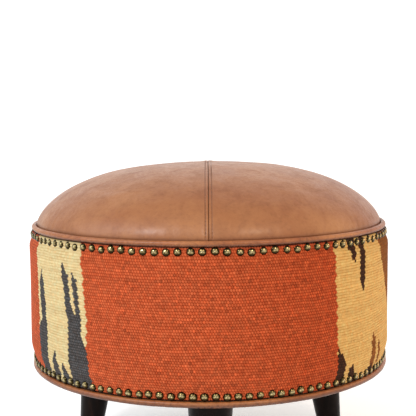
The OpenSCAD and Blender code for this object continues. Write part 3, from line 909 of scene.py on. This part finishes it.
def welt(name, node, path_r, z, flange_way, shade_from, seed):
    """A leather-covered cord with slight lumps and creases, and its sewn flange.

    Painted shade darkens it from shade_from down, as a share of its radius above its middle, and lies in its
    creases and over its flange."""
    around, section = 900, 20
    angle = circle(around)
    aa, tt = np.meshgrid(angle, circle(section), indexing="ij")
    ring = np.dstack([np.cos(aa), np.sin(aa), 0.05 * tt])
    size = WELT_R * (1 + 0.018 * waves(ring, 0.08, seed) - 0.012 * (1 + waves(ring, 0.02, seed + 1)))
    shaded_creases = np.maximum(0, np.sin(aa * 150 + 1.2 * tt + 3 * waves(ring, 0.1, seed + 2))) ** 6
    size -= 0.09 * MM * shaded_creases * smooth_step(waves(ring, 0.15, seed + 3), -0.1, 0.9)
    wobble = 0.18 * MM * waves(ring, 0.2, seed + 4)
    r = path_r + size * np.cos(tt)
    points = np.dstack([r * np.cos(aa), r * np.sin(aa), z + wobble + size * np.sin(tt)]).reshape(-1, 3)
    flange, flange_faces = flange_strip(angle, path_r, z, flange_way, len(points))
    obj = new_object(name, np.concatenate([points, flange]), ring_faces(around, section) + flange_faces,
                     WELT_LEATHER, replaces=[node])
    # painted shade: on the cord's underside and in its creases, and a flat 0.6 of it over the flange
    shade = smooth_step(-np.sin(tt), -shade_from, 1.1 - shade_from)
    dark = (0.3 * shaded_creases + 0.8 * shade).reshape(-1)
    attribute(obj, "shaded_creases", np.concatenate([dark, np.full(len(flange), 0.6)]))


def flange_strip(angle, path_r, z, way, first):
    """The flat tape sewn beside a welt: down behind the kilim, or in under the base."""
    thick, wide = 1.8 * MM, 16 * MM
    if way == "down":
        outer, inner = path_r - 1.5 * MM, path_r - 1.5 * MM - thick
        corners = [(outer, z - 2.5 * MM), (outer, z - wide), (inner, z - wide), (inner, z - 2.5 * MM)]
    else:
        top = z + WELT_R
        corners = [(path_r - 3 * MM, top), (path_r - wide, top),
                   (path_r - wide, top - thick), (path_r - 3 * MM, top - thick)]
    points = np.array([(r * math.cos(a), r * math.sin(a), h) for a in angle for r, h in corners])
    return points, ring_faces(len(angle), len(corners), first)


# ---- nails ----


HEAD_R, HEAD_RISE = 4.75 * MM, 3.1 * MM
NAIL_SEAT_IN = 4.7 * MM          # how far inside the band's outer face the heads sit


def nail_profile():
    """Radius, and distance out from the seat, down a nail: its dome, rolled rim and shank."""
    ball = (HEAD_R**2 + HEAD_RISE**2) / (2 * HEAD_RISE)
    dome = [(ball * math.sin(a), HEAD_RISE - ball + ball * math.cos(a))
            for a in np.linspace(0, math.asin(HEAD_R / ball), 9)]
    rim = [(HEAD_R + 0.05 * MM, -0.25 * MM), (HEAD_R - 0.5 * MM, -0.45 * MM)]
    shank = [(0.9 * MM, -0.3 * MM), (0.85 * MM, -12 * MM), (0.0, -13.5 * MM)]
    return dome + rim + shank


def nail_row(name, node, places):
    """A row of nails, each a little tilted. Their heads grow darker towards the rim, with patina, and towards
    the lower side, with painted shade.
    """
    rng = np.random.default_rng(90)
    profile = nail_profile()
    sides = 24
    verts, faces, rim = [], [], []
    for n, (angle, height, size) in enumerate(zip(*places)):
        tilt = Matrix.Rotation(rng.normal() * 0.05, 3, "Y") @ Matrix.Rotation(rng.normal() * 0.05, 3, "Z")
        turn = Matrix.Rotation(angle, 3, "Z")
        seat = Vector((BAND_R - NAIL_SEAT_IN, 0, height))
        first = len(verts)
        for r, out in profile:
            for k in range(sides if r > 0 else 1):
                a = 2 * math.pi * k / sides
                dent = 1 + 0.01 * math.sin(3 * a + n)
                local = Vector((out, r * dent * math.cos(a), r * dent * math.sin(a))) * size
                verts.append(turn @ (tilt @ local + seat))
                # painted shade on the lower side of each head
                below = 0.78 * float(smooth_step(-math.sin(a) * r / HEAD_R, -0.3, 0.6))
                rim.append(max(below, min(1.0, r / HEAD_R) ** 1.8) if out > -0.1 * MM else 1.0)
        last = len(verts) - 1
        for k in range(sides):
            faces.append([first, first + 1 + k, first + 1 + (k + 1) % sides])
            faces.append([last, last - sides + (k + 1) % sides, last - sides + k])
        faces += grid_faces(len(profile) - 2, sides, closed=True, first=first + 1)
    obj = new_object(name, verts, faces, BRASS, replaces=[node])
    attribute(obj, "rim", rim)


# ---- legs ----

LEG_SPLAY = math.radians(9)
LEG_TOP_Z = BAND_BOTTOM - 5 * MM
FOOT_R = 220 * MM
LEG_TOP_R, LEG_FOOT_R = 29.3 * MM, 17.7 * MM
LEG_AXIS_R = FOOT_R - LEG_TOP_Z * math.tan(LEG_SPLAY)    # a leg's axis at its top
BOLT_HOLE_R = 4.1 * MM
GLIDE_T = 4 * MM
LEG_ANGLES = {"front": -90, "right": 30, "left": 150}


def turned_leg(name, degrees):
    """A tapered leg with softened ends, its foot cut level."""
    length = LEG_TOP_Z / math.cos(LEG_SPLAY)
    sides, rows = 96, 40
    ease = 3 * MM
    verts = []

    def foot_cut(r, a):
        """How far along the leg's axis its level foot is, at radius r and angle a."""
        return -length + (GLIDE_T - r * math.cos(a) * math.sin(LEG_SPLAY)) / math.cos(LEG_SPLAY)

    def add_ring(r, along):
        verts.extend((r * math.cos(a), r * math.sin(a), along(a)) for a in circle(sides))

    add_ring(BOLT_HOLE_R, lambda a: 0)
    for bend in np.radians(range(0, 91, 15)):
        add_ring(LEG_TOP_R - ease + ease * math.sin(bend), lambda a: -ease + ease * math.cos(bend))
    for share in np.arange(1, rows + 1) / rows:
        r = LEG_TOP_R + (LEG_FOOT_R - LEG_TOP_R) * share + 0.35 * MM * math.sin(math.pi * share)
        add_ring(r, lambda a: -ease + (foot_cut(r, a) + ease) * share)
    for share in (0.93, 0.5):
        r = LEG_FOOT_R * share
        add_ring(r, lambda a: foot_cut(r, a))

    faces = [face[::-1] for face in grid_faces(len(verts) // sides, sides, closed=True)]
    faces.append(list(range(sides)))
    faces.append(list(range(len(verts) - sides, len(verts)))[::-1])
    turn = Matrix.Rotation(math.radians(degrees), 3, "Z")
    tilt = Matrix.Rotation(-LEG_SPLAY, 3, "Y")
    placed = [turn @ (tilt @ Vector(v) + Vector((LEG_AXIS_R, 0, LEG_TOP_Z))) for v in verts]
    new_object(f"turned_leg_{name}", placed, faces, LACQUER, body=f"leg_{name}",
               replaces=[f"leg_{name}"])


# ---- underside ----


def dust_cover():
    """Black cloth under the base, with a hole round each leg and a slight sag between its staples."""
    outer = DUST_HIGH.x
    hole, step = 32 * MM, 7 * MM
    centres = [(LEG_AXIS_R * math.cos(a), LEG_AXIS_R * math.sin(a))
               for a in np.radians(list(LEG_ANGLES.values()))]

    def on_cloth(x, y, margin=0):
        """Whether a point is on the cloth and further than a margin from its edges."""
        return math.hypot(x, y) < outer - margin and all(
            math.hypot(x - cx, y - cy) > hole + margin for cx, cy in centres)

    points, loops = [], []
    for x, y, r, count in [(0, 0, outer, 240)] + [(x, y, hole, 60) for x, y in centres]:
        loops.append(list(range(len(points), len(points) + count)))
        points += [Vector((x + r * math.cos(a), y + r * math.sin(a))) for a in circle(count)]
    steps = int(outer / step) + 1
    for i in range(-steps, steps + 1):
        for j in range(-steps, steps + 1):
            x, y = (i + 0.5 * (j % 2)) * step, j * step
            if on_cloth(x, y, 3 * MM):
                points.append(Vector((x, y)))
    flat, _, faces, _, _, _ = delaunay_2d_cdt(points, [], loops, 0, 1e-6)
    kept = [list(face) for face in faces if on_cloth(*np.mean([flat[i] for i in face], axis=0))]
    xy = np.array(flat)
    r = np.hypot(xy[:, 0], xy[:, 1])
    middle = 1 - smooth_step(r, outer * 0.55, outer * 0.96)
    sag = (0.9 + 0.5 * waves(xy, 0.1, 51)) * MM * middle + 0.12 * MM * waves(xy, 0.02, 52)
    sheet = np.column_stack([xy, DUST_LOW.z + 0.3 * MM - sag])
    obj = new_object("dust_cloth", sheet, kept, DUST_CLOTH, replaces=["dust_cover"])
    solid = obj.modifiers.new("thickness", "SOLIDIFY")
    solid.thickness = 0.5 * MM
    solid.offset = 0


# ---- carried-over CAD nodes ----

SHOWN_NODES = [
    (COTTON, ["seam_tape", "top_welt_cord", "bottom_welt_cord"]),
    (WADDING, ["seat_wadding"]),
    (FOAM, ["seat_foam", "side_padding"]),
    (PLYWOOD, ["deck_board", "base_board"]),
    (HARDBOARD, ["side_panel"]),
    (CARD, ["tack_strip"]),
    (ZINC, ["deck_screws", "base_screws", "cover_staples", "dust_cover_staples"]),
    (SOFTWOOD, [f"post_{n}" for n in range(1, 7)]),
]
LEG_PARTS = {"wedge": SOFTWOOD, "tee_nut": ZINC, "bolt": ZINC, "washer": FELT, "glide": PLASTIC}
SHOWN_NODES += [(material, [f"{part}_{leg}" for leg in LEG_ANGLES]) for part, material in LEG_PARTS.items()]


def dress_nodes():
    """Gives the CAD nodes that stay as they are their materials."""
    for material, nodes in SHOWN_NODES:
        for node in nodes:
            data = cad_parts[node].data
            data.materials.clear()
            data.materials.append(material)


# ---- surroundings ----


def backdrop():
    """A pale floor that sweeps up into a pale wall."""
    deep, wide, high, bend = 2.6, 7.0, 4.0, 1.2
    line = [(-3.5, 0.0), (deep - bend, 0.0)]
    for a in np.radians(range(6, 91, 6)):
        line.append((deep - bend + bend * math.sin(a), bend - bend * math.cos(a)))
    line.append((deep, high))
    verts = [(x, y, z) for x in (-wide / 2, wide / 2) for y, z in line]
    n = len(line)
    faces = [[i, i + 1, n + i + 1, n + i] for i in range(n - 1)]
    mesh = bpy.data.meshes.new("studio_sweep")
    mesh.from_pydata(verts, [], faces)
    mesh.shade_smooth()
    m = Nodes("studio_paper", roughness=0.9, specular_ior_level=0.1, emission_color=(1, 1, 1, 1),
              emission_strength=0.3)
    tone = m.mix(m.spread(m.noise(3, 2), 0.3, 0.7), (0.90, 0.90, 0.90, 1), (0.93, 0.93, 0.93, 1))
    mesh.materials.append(m.finish(tone))
    obj = add_object("studio_sweep", mesh)


def area_light(name, place, target, size, power, colour):
    """A soft rectangular light at a place, aimed at a target."""
    light = bpy.data.lights.new(name, "AREA")
    light.shape = "RECTANGLE"
    light.size, light.size_y = size
    light.energy = power
    light.color = colour
    obj = add_object(name, light)
    obj.location = place
    obj.rotation_euler = (Vector(target) - Vector(place)).to_track_quat("-Z", "Y").to_euler()


def lights():
    """Even white surroundings, a cool light from the left and a warm one from the right."""
    world = bpy.data.worlds.new("studio")
    bpy.context.scene.world = world
    world.use_nodes = True
    background = world.node_tree.nodes["Background"]
    background.inputs["Color"].default_value = (1, 1, 1, 1)
    background.inputs["Strength"].default_value = 0.62
    middle = (0, 0, 0.25)
    area_light("window_left", (-1.7, -0.4, 1.3), middle, (1.0, 1.0), 9, (0.82, 0.92, 1.0))
    area_light("key_left", (-1.34, -1.49, 2.06), middle, (0.5, 0.5), 30, (0.96, 0.98, 1.0))
    area_light("key_right", (1.06, -1.7, 2.06), middle, (0.45, 0.45), 18, (1.0, 0.84, 0.66))
    area_light("warm_right", (1.8, 0.1, 0.9), middle, (0.8, 1.2), 9, (1.0, 0.62, 0.3))


def camera():
    """The camera looks along +Y, tipped down and rolled a touch, from above the top of the kilim."""
    distance, above, aside = 5.118 * BAND_R, 0.567 * BAND_R, -0.7 * MM
    tipped, rolled = 5.3, 0.52
    data = bpy.data.cameras.new("camera")
    data.lens = 78.37
    data.sensor_width = 36
    obj = add_object("camera", data)
    tip = Matrix.Rotation(math.radians(90 - tipped), 4, "X")
    roll = Matrix.Rotation(math.radians(-rolled), 4, "Z")
    obj.matrix_world = Matrix.Translation((aside, -distance, BAND_TOP + above)) @ tip @ roll
    bpy.context.scene.camera = obj


# ---- assembly ----

camera()
puff_at = simulated_puff()
for side in SIDES:
    cover_half(side, puff_at)
    topstitches(side)
TOP_NAILS = nail_places(TOP_NAIL_COUNT, TOP_NAIL_Z, 81)
BOTTOM_NAILS = nail_places(BOTTOM_NAIL_COUNT, BOTTOM_NAIL_Z, 82)
kilim_band()
welt("welt_top", "top_welt_cover", TOP_WELT_R, TOP_WELT_Z, "down", 0.35, 60)
welt("welt_bottom", "bottom_welt_cover", BOTTOM_WELT_R, BOTTOM_WELT_Z, "in", 0.8, 70)
nail_row("nails_top", "top_nails", TOP_NAILS)
nail_row("nails_bottom", "bottom_nails", BOTTOM_NAILS)
for leg_name, leg_degrees in LEG_ANGLES.items():
    turned_leg(leg_name, leg_degrees)
dust_cover()
dress_nodes()
backdrop()
lights()
bpy.context.scene.view_settings.view_transform = "Standard"
bpy.context.scene.view_settings.look = "None"
